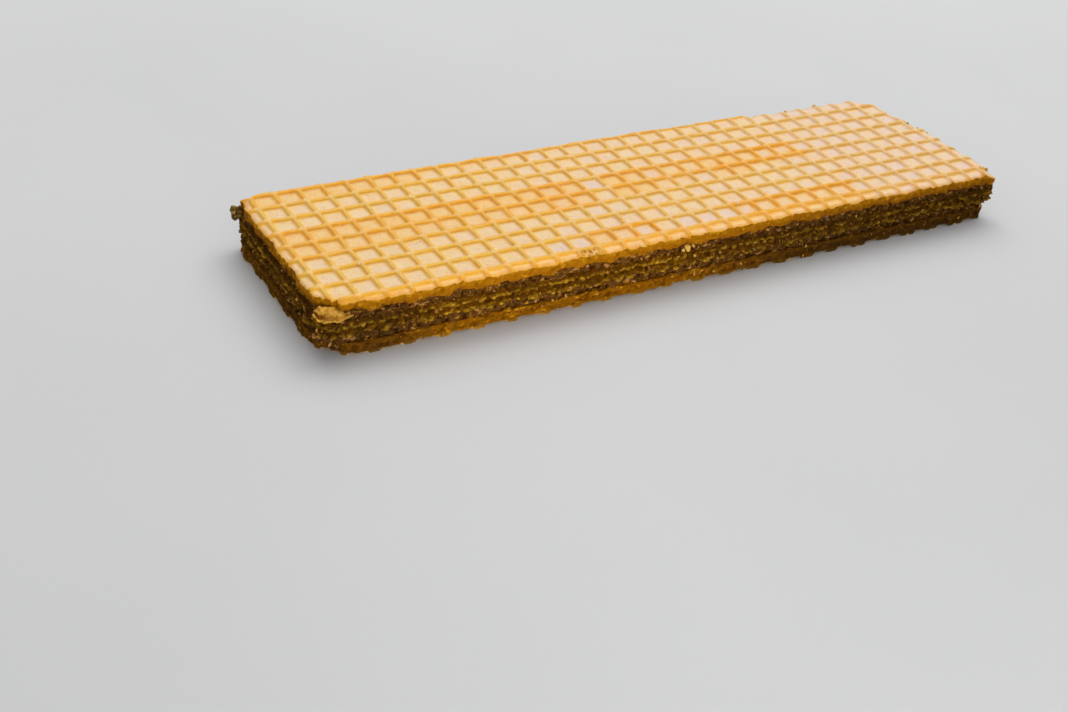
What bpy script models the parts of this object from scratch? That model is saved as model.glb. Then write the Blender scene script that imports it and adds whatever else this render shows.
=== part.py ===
"""A bar of layered wafer: three baked wafer sheets with two layers of cocoa cream between them.

Metres, +Z up. The bar lies flat: X runs along its length, Y across it, and the origin is the middle of
the underside, on a crossing of its ridges. The upper face has low narrow ridges in a square grid along
the bar, and the underside has broader ridges at 45 degrees to it.
"""

import math

import bmesh
import bpy
from mathutils import Matrix, Vector, noise

# Driving dimensions, metres.
LENGTH = 0.1070
WIDTH = 0.0291
REED_PITCH = 0.0033  # spacing of the ridges that the baking plates leave, on both faces
LAYER_GAP = 0.0003  # between one layer and the next

# Heights of the layers' boundaries above the underside, each in the middle of a gap.
BOTTOM_SHEET_TOP = 0.00196
CREAM_LOWER_TOP = 0.00300
MIDDLE_SHEET_TOP = 0.00506
CREAM_UPPER_TOP = 0.00616
TOP_SHEET_FLOOR = 0.00738  # floor of the upper face's pits

# Ridges: height, half the crest's width and half the foot's width. The upper face's crests are sharp.
UPPER_RIDGE = (0.00038, 0.0, 0.00033)
LOWER_RIDGE = (0.00040, 0.00030, 0.00055)

UPPER_TURN = math.radians(0.6)  # the bar was cut a little askew to its grid
UPPER_CROSSING = (0.00084, 0.00072)  # the crossing of the upper grid nearest the middle of the bar
LOWER_TURN = math.radians(45.6)  # the underside's grid has a crossing at the origin

# The broken and crumbled outline.
OUTLINE_STEP = 0.00165  # spacing of the outline's points
CRUMB_DEPTH = 0.00045  # how far the rough edge eats into the sides
CRUMB_SIZE = 0.0026  # spacing of the bites
CREAM_RECESS = 0.00030  # the cream ends this far inside the sheets
WAIST = 0.00022  # the middle of each inner layer's side lies this far inside its rims
WAIST_REACH = 0.0024  # what lies further in than this from an edge isn't on that side

# The right end lies inside the bar's full length, but for the tab at its near corner.
END_REACH = 0.0046  # it's shaped over this distance
END_SET_BACK = 0.0006
END_TAB = 0.0030  # reach of the tab from the corner
END_SLANT = 0.0019  # the far half runs back by up to this much more
SLANT_WIDTH = 0.0080  # ... over this distance from the middle
SHORT_END = 0.0008  # the bottom sheet stops this much shorter

FAR_STEP_X = 0.0270  # right of here the far side lies further in, by the next value
FAR_STEP = 0.0006

# Corners broken off: the corner's side along X and along Y, the break's reach, its depth in X and in Y.
BROKEN_BAR = ((1, 1, 0.0046, 0.0024, 0.0),)
BROKEN_TOP = BROKEN_BAR + ((-1, -1, 0.0034, 0.0016, 0.0010), (-1, 1, 0.0022, 0.0009, 0.0005))
BROKEN_BOTTOM = BROKEN_BAR + ((-1, -1, 0.0050, 0.0017, 0.0013),)

# Colours, linear.
WAFER_COLOR = (0.76, 0.50, 0.20, 1.0)
INNER_WAFER_COLOR = (0.52, 0.36, 0.10, 1.0)
CREAM_COLOR = (0.12, 0.065, 0.038, 1.0)


def clear_scene():
    for thing in list(bpy.data.objects):
        bpy.data.objects.remove(thing, do_unlink=True)


def new_collection(name):
    collection = bpy.data.collections.new(name)
    bpy.context.scene.collection.children.link(collection)
    return collection


def matte_material(name, color, roughness):
    material = bpy.data.materials.new(name)
    material.use_nodes = True
    shader = material.node_tree.nodes["Principled BSDF"]
    shader.inputs["Base Color"].default_value = color
    shader.inputs["Roughness"].default_value = roughness
    shader.inputs["Metallic"].default_value = 0.0
    return material


def falloff(distance, reach):
    """1 at no distance, falling smoothly to 0 at the reach."""
    share = max(0.0, 1.0 - distance / reach)
    return share * share * (3.0 - 2.0 * share)


def crumble(x, y, seed):
    """Depth of the rough edge's bites at a point of the outline, never negative."""
    coarse = noise.noise(Vector((x / CRUMB_SIZE, y / CRUMB_SIZE, seed)))
    fine = noise.noise(Vector((2.7 * x / CRUMB_SIZE, 2.7 * y / CRUMB_SIZE, seed + 7.3)))
    return CRUMB_DEPTH * (0.45 + 0.55 * max(-0.8, min(0.8, coarse + 0.5 * fine)))


def outline(seed, broken, recess=0.0, short_end=0.0):
    """Corner points of one layer, counter-clockwise from the near left corner."""
    half_x = LENGTH / 2
    half_y = WIDTH / 2
    along = round(LENGTH / OUTLINE_STEP)
    across = round(WIDTH / OUTLINE_STEP)
    near = [(-half_x + LENGTH * i / along, -half_y) for i in range(along)]
    right = [(half_x, -half_y + WIDTH * i / across) for i in range(across)]
    far = [(-x, -y) for x, y in near]
    left = [(-x, -y) for x, y in right]
    points = []
    for x, y in near + right + far + left:
        inward = recess + crumble(x, y, seed)
        at_end = abs(abs(x) - half_x) < 1e-9
        at_side = abs(abs(y) - half_y) < 1e-9
        new_x = x - math.copysign(inward, x) if at_end else x
        new_y = y - math.copysign(inward, y) if at_side else y
        at_tab = falloff(math.hypot(x - half_x, y + half_y), END_TAB)
        slant = END_SLANT * (1.0 - falloff(max(0.0, y), SLANT_WIDTH))
        set_back = END_SET_BACK * (1.0 - at_tab) + slant + short_end
        new_x -= set_back * falloff(half_x - x, END_REACH)
        if x > FAR_STEP_X and y > 0 and at_side:
            new_y -= FAR_STEP
        for side_x, side_y, reach, deep_x, deep_y in broken:
            share = falloff(math.hypot(x - side_x * half_x, y - side_y * half_y), reach)
            new_x -= side_x * deep_x * share
            new_y -= side_y * deep_y * share
        points.append((new_x, new_y))
    return points


def disc_of(points, height):
    """A flat face through the outline's points, as a bmesh."""
    bm = bmesh.new()
    made = bmesh.ops.create_circle(bm, cap_ends=True, segments=len(points), radius=1.0)
    ring = sorted(made["verts"], key=lambda v: math.atan2(v.co.y, v.co.x) % math.tau)
    for vert, (x, y) in zip(ring, points):
        vert.co = (x, y, height)
    bmesh.ops.recalc_face_normals(bm, faces=bm.faces)
    if bm.faces[:][0].normal.z < 0:
        bmesh.ops.reverse_faces(bm, faces=bm.faces)
    return bm


def raise_region(bm, faces, rise, keep):
    """Extrudes faces up by a rise, keeps or drops the ones they leave, and returns the ones on top."""
    made = bmesh.ops.extrude_face_region(bm, geom=faces)["geom"]
    verts = [g for g in made if isinstance(g, bmesh.types.BMVert)]
    bmesh.ops.translate(bm, verts=verts, vec=(0, 0, rise))
    if not keep:
        bmesh.ops.delete(bm, geom=faces, context="FACES_ONLY")
    return [g for g in made if isinstance(g, bmesh.types.BMFace)]


def object_from(bm, name, collection, material=None):
    mesh = bpy.data.meshes.new(name)
    bmesh.ops.recalc_face_normals(bm, faces=bm.faces)
    bm.to_mesh(mesh)
    bm.free()
    thing = bpy.data.objects.new(name, mesh)
    collection.objects.link(thing)
    if material:
        mesh.materials.append(material)
    return thing


def inner_layer(name, low, high, points, material, collection):
    """A slab between two heights, with the middle of its side drawn in to a waist."""
    bm = disc_of(points, low + LAYER_GAP / 2)
    rise = (high - low - LAYER_GAP) / 2
    middle = raise_region(bm, bm.faces[:], rise, keep=True)
    for vert in middle[0].verts:
        pull = WAIST * (0.7 + 0.6 * noise.noise(vert.co * 900))
        vert.co.x -= math.copysign(pull, vert.co.x) * (abs(vert.co.x) > LENGTH / 2 - WAIST_REACH)
        vert.co.y -= math.copysign(pull, vert.co.y) * (abs(vert.co.y) > WIDTH / 2 - WAIST_REACH)
    raise_region(bm, middle, rise, keep=False)
    return object_from(bm, name, collection, material)


def reeded_plate(ridge, columns, rows, thickness):
    """A plate with a square grid of ridges on top; the pits' floors are at height 0, a crossing at 0, 0."""
    height, crest, foot = ridge
    lines = 2 if crest else 1  # a flat crest has two edges, a sharp one has one
    bm = bmesh.new()
    bmesh.ops.create_grid(bm, x_segments=lines * columns, y_segments=lines * rows, size=1.0)
    for vert in bm.verts:
        for axis, count in ((0, columns), (1, rows)):
            line = round((vert.co[axis] + 1.0) / 2 * lines * count)
            cell, second = divmod(line, lines)
            vert.co[axis] = (cell - count // 2) * REED_PITCH + (crest if second else -crest)
        vert.co.z = -thickness
    under = bm.faces[:]
    top = raise_region(bm, under, thickness + height, keep=True)
    bmesh.ops.dissolve_faces(bm, faces=under)
    bmesh.ops.recalc_face_normals(bm, faces=bm.faces)
    pit = REED_PITCH - 2 * crest
    cells = [f for f in top if f.calc_area() > 0.99 * pit * pit]
    bmesh.ops.inset_individual(bm, faces=cells, thickness=foot - crest, depth=-height)
    return bm


def cut_to_outline(plate, points, low, high, cutters):
    """Keeps only what lies inside the layer's outline."""
    bm = disc_of(points, low)
    raise_region(bm, bm.faces[:], high - low, keep=True)
    cutter = object_from(bm, plate.name + "_outline", cutters)
    cutter.hide_render = True
    cutter.display_type = "WIRE"
    trim = plate.modifiers.new("outline", "BOOLEAN")
    trim.operation = "INTERSECT"
    trim.solver = "MANIFOLD"
    trim.object = cutter


def top_sheet(material, parts, cutters):
    columns = math.ceil(LENGTH / REED_PITCH / 2) * 2 + 2
    rows = math.ceil(WIDTH / REED_PITCH / 2) * 2 + 2
    low = CREAM_UPPER_TOP + LAYER_GAP / 2
    bm = reeded_plate(UPPER_RIDGE, columns, rows, TOP_SHEET_FLOOR - low)
    x, y = UPPER_CROSSING
    place = Matrix.Translation((x, y, TOP_SHEET_FLOOR)) @ Matrix.Rotation(UPPER_TURN, 4, "Z")
    bmesh.ops.transform(bm, matrix=place, verts=bm.verts)
    sheet = object_from(bm, "top_sheet", parts, material)
    cut_to_outline(sheet, outline(1.0, BROKEN_TOP), low - 0.001, TOP_SHEET_FLOOR + 0.001, cutters)
    return sheet


def bottom_sheet(material, parts, cutters):
    reach = (LENGTH + WIDTH) / math.sqrt(2)
    cells = math.ceil(reach / REED_PITCH / 2) * 2 + 2
    high = BOTTOM_SHEET_TOP - LAYER_GAP / 2
    floor = LOWER_RIDGE[0]
    bm = reeded_plate(LOWER_RIDGE, cells, cells, high - floor)
    place = Matrix.Translation((0, 0, floor)) @ Matrix.Rotation(LOWER_TURN, 4, "Z")
    place = place @ Matrix.Rotation(math.pi, 4, "X")
    bmesh.ops.transform(bm, matrix=place, verts=bm.verts)
    sheet = object_from(bm, "bottom_sheet", parts, material)
    cut_to_outline(sheet, outline(5.0, BROKEN_BOTTOM, short_end=SHORT_END), -0.001, high + 0.001, cutters)
    return sheet


def build():
    clear_scene()
    parts = new_collection("chocolate_wafer")
    cutters = new_collection("outlines")
    wafer = matte_material("wafer", WAFER_COLOR, 0.7)
    inner_wafer = matte_material("inner_wafer", INNER_WAFER_COLOR, 0.8)
    cream = matte_material("cocoa_cream", CREAM_COLOR, 0.75)
    bottom_sheet(wafer, parts, cutters)
    points = outline(4.0, BROKEN_BAR, recess=CREAM_RECESS)
    inner_layer("cream_lower", BOTTOM_SHEET_TOP, CREAM_LOWER_TOP, points, cream, parts)
    points = outline(3.0, BROKEN_BAR)
    inner_layer("middle_sheet", CREAM_LOWER_TOP, MIDDLE_SHEET_TOP, points, inner_wafer, parts)
    points = outline(2.0, BROKEN_BAR, recess=CREAM_RECESS)
    inner_layer("cream_upper", MIDDLE_SHEET_TOP, CREAM_UPPER_TOP, points, cream, parts)
    top_sheet(wafer, parts, cutters)


build()
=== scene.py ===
"""Looks for a bar of layered wafer: three baked sheets with two layers of cocoa cream between them.

The sheets and the cream are modelled again with fine relief, crumbly sides and the crumbs on them.
Metres, +Z up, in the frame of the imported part: X runs along the bar and its underside is at 0.
"""

import math
import random

import bmesh
import bpy
from mathutils import Euler, Matrix, Vector, kdtree, noise


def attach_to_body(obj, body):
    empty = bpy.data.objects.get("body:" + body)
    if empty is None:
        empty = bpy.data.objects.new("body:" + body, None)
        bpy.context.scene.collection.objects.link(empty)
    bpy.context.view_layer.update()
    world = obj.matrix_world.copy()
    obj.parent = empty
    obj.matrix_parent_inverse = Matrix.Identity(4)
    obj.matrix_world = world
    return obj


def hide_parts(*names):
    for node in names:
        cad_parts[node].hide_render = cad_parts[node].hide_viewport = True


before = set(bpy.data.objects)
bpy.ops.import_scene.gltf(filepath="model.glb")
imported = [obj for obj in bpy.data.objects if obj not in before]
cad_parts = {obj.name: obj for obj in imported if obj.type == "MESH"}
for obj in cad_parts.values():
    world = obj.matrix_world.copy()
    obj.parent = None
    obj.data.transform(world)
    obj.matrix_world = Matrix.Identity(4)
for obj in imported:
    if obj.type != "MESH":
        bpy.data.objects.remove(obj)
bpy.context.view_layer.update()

MM = 0.001
GRAIN_LENGTH = 1.6  # the grains of a broken side lie flat: this much longer than high

# Driving dimensions, as in the part's source.
LENGTH = 0.1070
WIDTH = 0.0291
HALF_LENGTH = LENGTH / 2
HALF_WIDTH = WIDTH / 2
REED_PITCH = 0.0033  # spacing of the ridges on both faces of every sheet
UPPER_TURN = math.radians(0.6)
LOWER_TURN = math.radians(45.6)
BOTTOM_SHEET_TOP = 0.00196
CREAM_LOWER_TOP = 0.00300
MIDDLE_SHEET_TOP = 0.00506
CREAM_UPPER_TOP = 0.00616
TOP_SHEET_FLOOR = 0.00738  # floor of the upper face's pits

# The ridges, softer than the part's: height, half the crest's width and half the foot's width.
UPPER_RIDGE = (0.00038, 0.00012, 0.00049)
LOWER_RIDGE = (0.00040, 0.00028, 0.00056)
UPPER_CROSSING = (0.00096, 0.00060)  # the crossing of the upper grid nearest the middle of the bar
COLUMN_AT_CROSSING, ROW_AT_CROSSING = 16, 4

# The crumbled outline and its right end. All but the last two are as in the part's source.
CRUMB_DEPTH = 0.00045  # how far the rough edge eats into the sides
CRUMB_SIZE = 0.0026  # spacing of the bites
CREAM_RECESS = 0.00030  # the cream ends this far inside the sheets
END_REACH = 0.0046  # the right end is shaped over this distance
END_SET_BACK = 0.0006
END_TAB = 0.0030  # reach of the tab at its near corner
END_SLANT = 0.0019  # its far half runs back by up to this much more
SLANT_WIDTH = 0.0080
SHORT_END = 0.0008  # the bottom sheet stops this much shorter
FAR_STEP_X = 0.0270
FAR_STEP = 0.0006  # right of that place the far side lies further in by this
STEP_RISE = (0.3 * MM, 0.5 * MM)  # the step spreads this far before its place and after it
CORNER_REACH = 0.0022  # a side's crumbling also draws in this much of the next side

# Broken corners, finer than the part's: their side in X and Y, their reach, and their depth in X and Y.
BROKEN_BAR = ((1, 1, 0.0046, 0.0024, 0.0),)
BROKEN_TOP = BROKEN_BAR + (
    (-1, -1, 0.0034, 0.0016, 0.0006),
    (-1, -1, 0.0090, 0.0, 0.0008),
    (-1, 1, 0.0050, 0.0003, 0.0010),
    (1, -1, 0.0009, 0.0003, 0.0003),
)
LOW_RIGHT_CORNER = (1, -1, 0.0080, 0.0009, 0.0003)
BROKEN_BOTTOM = BROKEN_BAR + (
    (-1, -1, 0.0050, 0.0017, 0.0013),
    (-1, 1, 0.0030, 0.0003, 0.0003),
    LOW_RIGHT_CORNER,
)
BROKEN_INSIDE = BROKEN_BAR + (
    (-1, 1, 0.0040, 0.0001, 0.0005),
    (-1, -1, 0.0026, 0.0004, 0.0004),
    (1, -1, 0.0010, 0.0002, 0.0003),
)
BROKEN_LOW_INSIDE = BROKEN_INSIDE + (LOW_RIGHT_CORNER,)

EDGE_DROOP = 0.00013  # the upper face is worn round its rim by this much
WORN_RIM = 0.00050  # width of the rounded rim and of the painted golden glow along it
LIP_GLOW_REACH = 0.0026  # the near right corner has a painted golden glow over this reach
LIP_START = 0.0506  # from here on the near right corner hangs down
LIP_REACH = 0.0050
LIP_DROP = (0.0005, 0.0009)  # at its underside and at its upper face
PIT_CORNER = 0.035  # softness of the pits' corners, in pitches

# Fineness of the modelled surfaces.
SIDE_STEP = 0.00012  # spacing of the points round a side
RING_STEP = 0.00012  # spacing of the rings up a side
OVERLAP = 0.00022  # each cream layer runs this far into the sheets above and below it
OVERCUT = 0.9 * MM  # the upper sheet's cutter ends this far above its pits
UNDERCUT = 0.6 * MM  # the bottom sheet's cutter starts this far under it
PORE_DEPTH = 0.5 * MM  # between the deepest hollow of a side and its tallest grain; the painted shade of the hollows fades over it
DRAWN_IN = 0.0006  # the flat ends of a ragged body stay this far inside its outline

# Where the lines of a sheet's mesh lie across one pitch, as shares of it: close together over the ridge.
FINE_LINES = (0.0, 0.03, 0.065, 0.10, 0.145, 0.23, 0.36, 0.5, 0.64, 0.77, 0.855, 0.90, 0.935, 0.97)
BROAD_LINES = (0.0, 0.045, 0.085, 0.125, 0.17, 0.26, 0.38, 0.5, 0.62, 0.74, 0.83, 0.875, 0.915, 0.955)

# Where the upper face is toasted: columns and rows of the grid from and to, how much its ridges are
# toasted and how much the floors of its pits. Column 0 is the first ridge from the left, and row 0 the
# first one from the far side.
TOASTED = (
    (-1.0, 7.0, -1.0, 1.0, 0.55, 0.50),
    (7.0, 12.6, -1.0, 0.40, 0.45, 0.40),
    (12.6, 24.0, -1.0, 0.10, 0.45, 0.20),
    (-1.0, 11.2, 2.95, 4.0, 0.70, 0.62),
    (-1.0, 10.6, 4.0, 5.08, 0.55, 0.42),
    (10.2, 13.0, 2.9, 5.1, 0.80, 0.50),
    (14.1, 16.2, 2.9, 4.8, 0.80, 0.55),
    (16.2, 19.2, 2.9, 4.15, 0.70, 0.22),
    (15.0, 18.0, 4.0, 4.7, 0.60, 0.30),
    (19.1, 21.1, 2.9, 4.8, 0.85, 0.62),
    (21.0, 24.3, 2.85, 4.35, 1.00, 0.35),
    (10.9, 12.3, 6.95, 8.1, 0.80, 0.50),
    (12.3, 14.2, 6.95, 8.05, 0.85, 0.15),
    (17.9, 24.45, 6.9, 8.15, 0.95, 0.20),
    (-1.0, 8.0, 8.05, 9.0, 0.45, 0.40),
    (8.0, 24.8, 8.05, 9.0, 0.60, 0.45),
    (24.8, 33.0, 8.05, 9.0, 0.20, 0.0),
    (-1.0, 33.0, 7.85, 8.05, 0.45, 0.0),
)
# Pits that stayed palest, by column and row of the ridges at their left and far side.
PALEST = ((13, 3), (13, 7), (15, 7), (16, 7), (17, 7), (9, 7), (22, 3), (16, 3), (10, 7), (18, 7))


def falloff(distance, reach):
    """1 at no distance, falling smoothly to 0 at the reach."""
    share = max(0.0, 1.0 - distance / reach)
    return share * share * (3.0 - 2.0 * share)


def smoothly(low, high, value):
    """0 at low and before, 1 at high and beyond, and smooth between."""
    share = min(1.0, max(0.0, (value - low) / (high - low)))
    return share * share * (3.0 - 2.0 * share)


def grain(point, size, seed=0.0):
    """Smooth noise from about -1 to 1 with spots of about this size."""
    return noise.noise(Vector((point[0] / size + seed, point[1] / size - seed, point[2] / size)))


def granule(point, size, seed=0.0):
    """How near a place is to the middle of a grain, from about -0.4 to 0.5, and the grain's tint."""
    long = size * GRAIN_LENGTH
    far, near = noise.voronoi(Vector((point[0] / long + seed, point[1] / long - seed, point[2] / size)))
    return 0.5 - far[0], noise.cell(near[0] * 31.7)


# ---- the outline ----


def crumble(x, y, seed):
    """Depth of the rough edge's bites at a point of the outline, never negative."""
    coarse = noise.noise(Vector((x / CRUMB_SIZE, y / CRUMB_SIZE, seed)))
    fine = noise.noise(Vector((2.7 * x / CRUMB_SIZE, 2.7 * y / CRUMB_SIZE, seed + 7.3)))
    return CRUMB_DEPTH * (0.45 + 0.55 * max(-0.8, min(0.8, coarse + 0.5 * fine)))


def outline(seed, broken, recess=0.0, short_end=0.0):
    """Points of one layer's outline, counter-clockwise from the near left corner."""
    along = round(LENGTH / SIDE_STEP)
    across = round(WIDTH / SIDE_STEP)
    near = [(-HALF_LENGTH + LENGTH * i / along, -HALF_WIDTH) for i in range(along)]
    right = [(HALF_LENGTH, -HALF_WIDTH + WIDTH * i / across) for i in range(across)]
    far = [(-x, -y) for x, y in near]
    left = [(-x, -y) for x, y in right]
    points = []
    for x, y in near + right + far + left:
        inward = recess + crumble(x, y, seed)
        at_side = math.isclose(abs(y), HALF_WIDTH)
        near_end = falloff(HALF_LENGTH - abs(x), CORNER_REACH)
        near_side = falloff(HALF_WIDTH - abs(y), CORNER_REACH)
        at_tab = falloff(math.hypot(x - HALF_LENGTH, y + HALF_WIDTH), END_TAB)
        new_x = x - math.copysign(inward * near_end * (1.0 - at_tab), x)
        new_y = y - math.copysign(inward * near_side, y)
        slant = END_SLANT * (1.0 - falloff(max(0.0, y), SLANT_WIDTH))
        set_back = END_SET_BACK * (1.0 - at_tab) + slant + short_end
        new_x -= set_back * falloff(HALF_LENGTH - x, END_REACH)
        if y > 0:
            new_y -= FAR_STEP * near_side * smoothly(FAR_STEP_X - STEP_RISE[0], FAR_STEP_X + STEP_RISE[1], x)
        for side_x, side_y, reach, deep_x, deep_y in broken:
            share = falloff(math.hypot(x - side_x * HALF_LENGTH, y - side_y * HALF_WIDTH), reach)
            new_x -= side_x * deep_x * share
            new_y -= side_y * deep_y * share
        if y > 0 and at_side and new_x >= points[-1][0]:
            continue  # the deep break at the far right corner would fold the far side back over itself
        points.append((new_x, new_y))
    return points


TOP_OUTLINE = outline(1.0, BROKEN_TOP)
CREAM_UPPER_OUTLINE = outline(2.0, BROKEN_INSIDE, recess=CREAM_RECESS)
MIDDLE_OUTLINE = outline(3.0, BROKEN_INSIDE)
CREAM_LOWER_OUTLINE = outline(4.0, BROKEN_LOW_INSIDE, recess=CREAM_RECESS)
BOTTOM_OUTLINE = outline(5.0, BROKEN_BOTTOM, short_end=SHORT_END)


def outward_ways(points, reach=4):
    """The direction straight out of the outline at each of its points."""
    ways = []
    count = len(points)
    for i in range(count):
        ax, ay = points[i - reach]
        bx, by = points[(i + reach) % count]
        length = math.hypot(bx - ax, by - ay)
        ways.append(((by - ay) / length, (ax - bx) / length))
    return ways


def depth_inside(points):
    """A measure of how far inside the outline a place lies, exact near it and negative outside."""
    ways = outward_ways(points)
    tree = kdtree.KDTree(len(points))
    for i, (x, y) in enumerate(points):
        tree.insert((x, y, 0), i)
    tree.balance()

    def inside(x, y):
        _, i, away = tree.find((x, y, 0))
        side = (points[i][0] - x) * ways[i][0] + (points[i][1] - y) * ways[i][1]
        return math.copysign(away, side)

    return inside


# ---- the reeding ----


def lattice(x, y, crossing, turn):
    """A place counted in pitches along and across a grid of ridges from one of its crossings."""
    away_x, away_y = x - crossing[0], y - crossing[1]
    cos, sin = math.cos(turn), math.sin(turn)
    return (away_x * cos + away_y * sin) / REED_PITCH, (away_y * cos - away_x * sin) / REED_PITCH


def off_ridge(a, b, left=1.0, right=1.0, far=1.0, near=1.0):
    """Distance to the nearest ridge, in pitches, shortened in the corners so that pits are round there.

    The last four stretch the distances on each side of a ridge; b counts towards the near side.
    """
    along, across = a - round(a), b - round(b)
    along *= right if along > 0 else -left
    across *= near if across > 0 else -far
    return -PIT_CORNER * math.log(math.exp(-along / PIT_CORNER) + math.exp(-across / PIT_CORNER))


def ridge_share(a, b, ridge):
    """Height of the ridges at a place of the grid, from 0 in a pit to 1 on a crest."""
    _, crest, foot = ridge
    return 1.0 - smoothly(crest, foot, off_ridge(a, b) * REED_PITCH)


def upper_place(x, y):
    """Column and row on the upper face, with ridges at the whole numbers."""
    a, b = lattice(x, y, UPPER_CROSSING, UPPER_TURN)
    return COLUMN_AT_CROSSING + a, ROW_AT_CROSSING - b


def upper_height(x, y, inside):
    """Height of the upper face and its share of a ridge, this far inside the outline."""
    column, row = upper_place(x, y)
    column += 0.026 * grain((x, y, 1), 1.7 * MM) + 0.022 * grain((x, y, 11), 0.6 * MM)
    row += 0.026 * grain((x, y, 2), 1.7 * MM) + 0.022 * grain((x, y, 12), 0.6 * MM)
    share = ridge_share(column, row, UPPER_RIDGE)
    worn = smoothly(-0.1 * MM, 0.9 * MM, inside + 0.25 * MM * grain((x, y, 8), 0.7 * MM))
    uneven = 0.98 + 0.34 * grain((x, y, 0), 2.6 * MM) + 0.24 * grain((x, y, 5), 0.7 * MM)
    floor = 0.040 * MM * grain((x, y, 9), 1.3 * MM) + 0.022 * MM * grain((x, y, 3), 0.42 * MM)
    broad, steep = smoothly(0.0, 1.2 * WORN_RIM, inside), smoothly(-0.05 * MM, 0.5 * WORN_RIM, inside)
    droop = EDGE_DROOP * (2.0 - broad - steep)
    height = TOP_SHEET_FLOOR + UPPER_RIDGE[0] * share * uneven * (0.35 + 0.65 * worn) + floor - droop
    return height, share


def under_share(x, y, crossing=(0.0, 0.0)):
    """Share of a broad diagonal ridge at a place on a sheet's underside."""
    a, b = lattice(x, y, crossing, LOWER_TURN)
    return ridge_share(a, b, LOWER_RIDGE)


def toasting(x, y):
    """How toasted the upper face is at a place, from 0 to 1."""
    column, row = upper_place(x, y)
    sway = 0.16 * grain((x, y, 2), 2.4 * MM)
    rim = 1.0 - smoothly(0.10, 0.36, off_ridge(column, row) + 0.10 * grain((x, y, 4), 1.1 * MM))
    most = 0.0
    for left, right, far, near, on_ridge, on_floor in TOASTED:
        inside = smoothly(left - 0.22, left + 0.22, column + sway)
        inside *= 1.0 - smoothly(right - 0.22, right + 0.22, column + sway)
        inside *= smoothly(far - 0.14, far + 0.14, row + sway * 0.6)
        inside *= 1.0 - smoothly(near - 0.14, near + 0.14, row + sway * 0.6)
        most = max(most, inside * (on_floor + (on_ridge - on_floor) * rim))
    return min(1.0, most * (0.95 + 0.40 * grain((x, y, 6), 1.3 * MM)))


def goldenness(x, y):
    """How golden the upper face is at a place: 1 on the ridges, fading out beside them, less at crossings."""
    column, row = upper_place(x, y)
    thin = 1.0 + 0.6 * smoothly(17.0, 27.0, column)
    away = off_ridge(column, row, 1.35 * thin, 0.85 * thin, 0.95, 0.80)
    away += 0.040 * grain((x, y, 5), 0.9 * MM) + 0.025 * grain((x, y, 7), 0.4 * MM)
    to_crossing = math.hypot(column - round(column), row - round(row))
    crossing = 1.0 - smoothly(0.05, 0.17, to_crossing + 0.04 * grain((x, y, 3), 0.8 * MM))
    return (1.0 - smoothly(0.09, 0.235, away)) * (1.0 - 0.45 * crossing)


def rim_wear(x, y, inside):
    """How much painted golden glow the rim of the upper face has at a place, from 0 to 1, most along the near
    side.
    """
    width = WORN_RIM * (1.0 + 0.5 * smoothly(-12.0 * MM, -13.6 * MM, y))
    worn = 1.0 - smoothly(0.3 * width, width, inside + 0.12 * MM * grain((x, y, 8), 0.7 * MM))
    return max(worn, 0.5 * falloff(math.hypot(x - HALF_LENGTH, y + HALF_WIDTH), LIP_GLOW_REACH))


def paleness_and_sheen(x, y):
    """How much paler than the rest a place on the upper face is, from 0 to 1: its palest pits, and a painted
    sheen that grows towards the right end.
    """
    column, row = upper_place(x, y)
    cell = (math.floor(column), math.floor(row))
    middle = max(abs(column - cell[0] - 0.55), abs(row - cell[1] - 0.5))
    own = 0.75 if cell in PALEST else 0.30 * noise.cell(Vector((cell[0] + 0.5, cell[1] + 0.5, 3.5)))
    pale = own * (1.0 - smoothly(0.22, 0.42, middle))
    # the rise towards the right end is painted sheen
    return min(1.0, pale + 0.26 * smoothly(9.0, 12.0, column) + 0.33 * smoothly(23.0, 26.5, column))


# ---- mesh building ----


def raise_cap(bm, cap, keep):
    """Extrudes a cap in place, keeps or drops the old one, and returns the new faces and vertices."""
    made = bmesh.ops.extrude_face_region(bm, geom=cap)["geom"]
    if not keep:
        bmesh.ops.delete(bm, geom=cap, context="FACES_ONLY")
    faces = [g for g in made if isinstance(g, bmesh.types.BMFace)]
    verts = [g for g in made if isinstance(g, bmesh.types.BMVert)]
    return faces, verts


def face_outward(bm):
    """Turns the faces of a closed mesh to look outwards."""
    bmesh.ops.recalc_face_normals(bm, faces=bm.faces)
    if bm.calc_volume(signed=True) < 0:
        bmesh.ops.reverse_faces(bm, faces=bm.faces)


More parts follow.
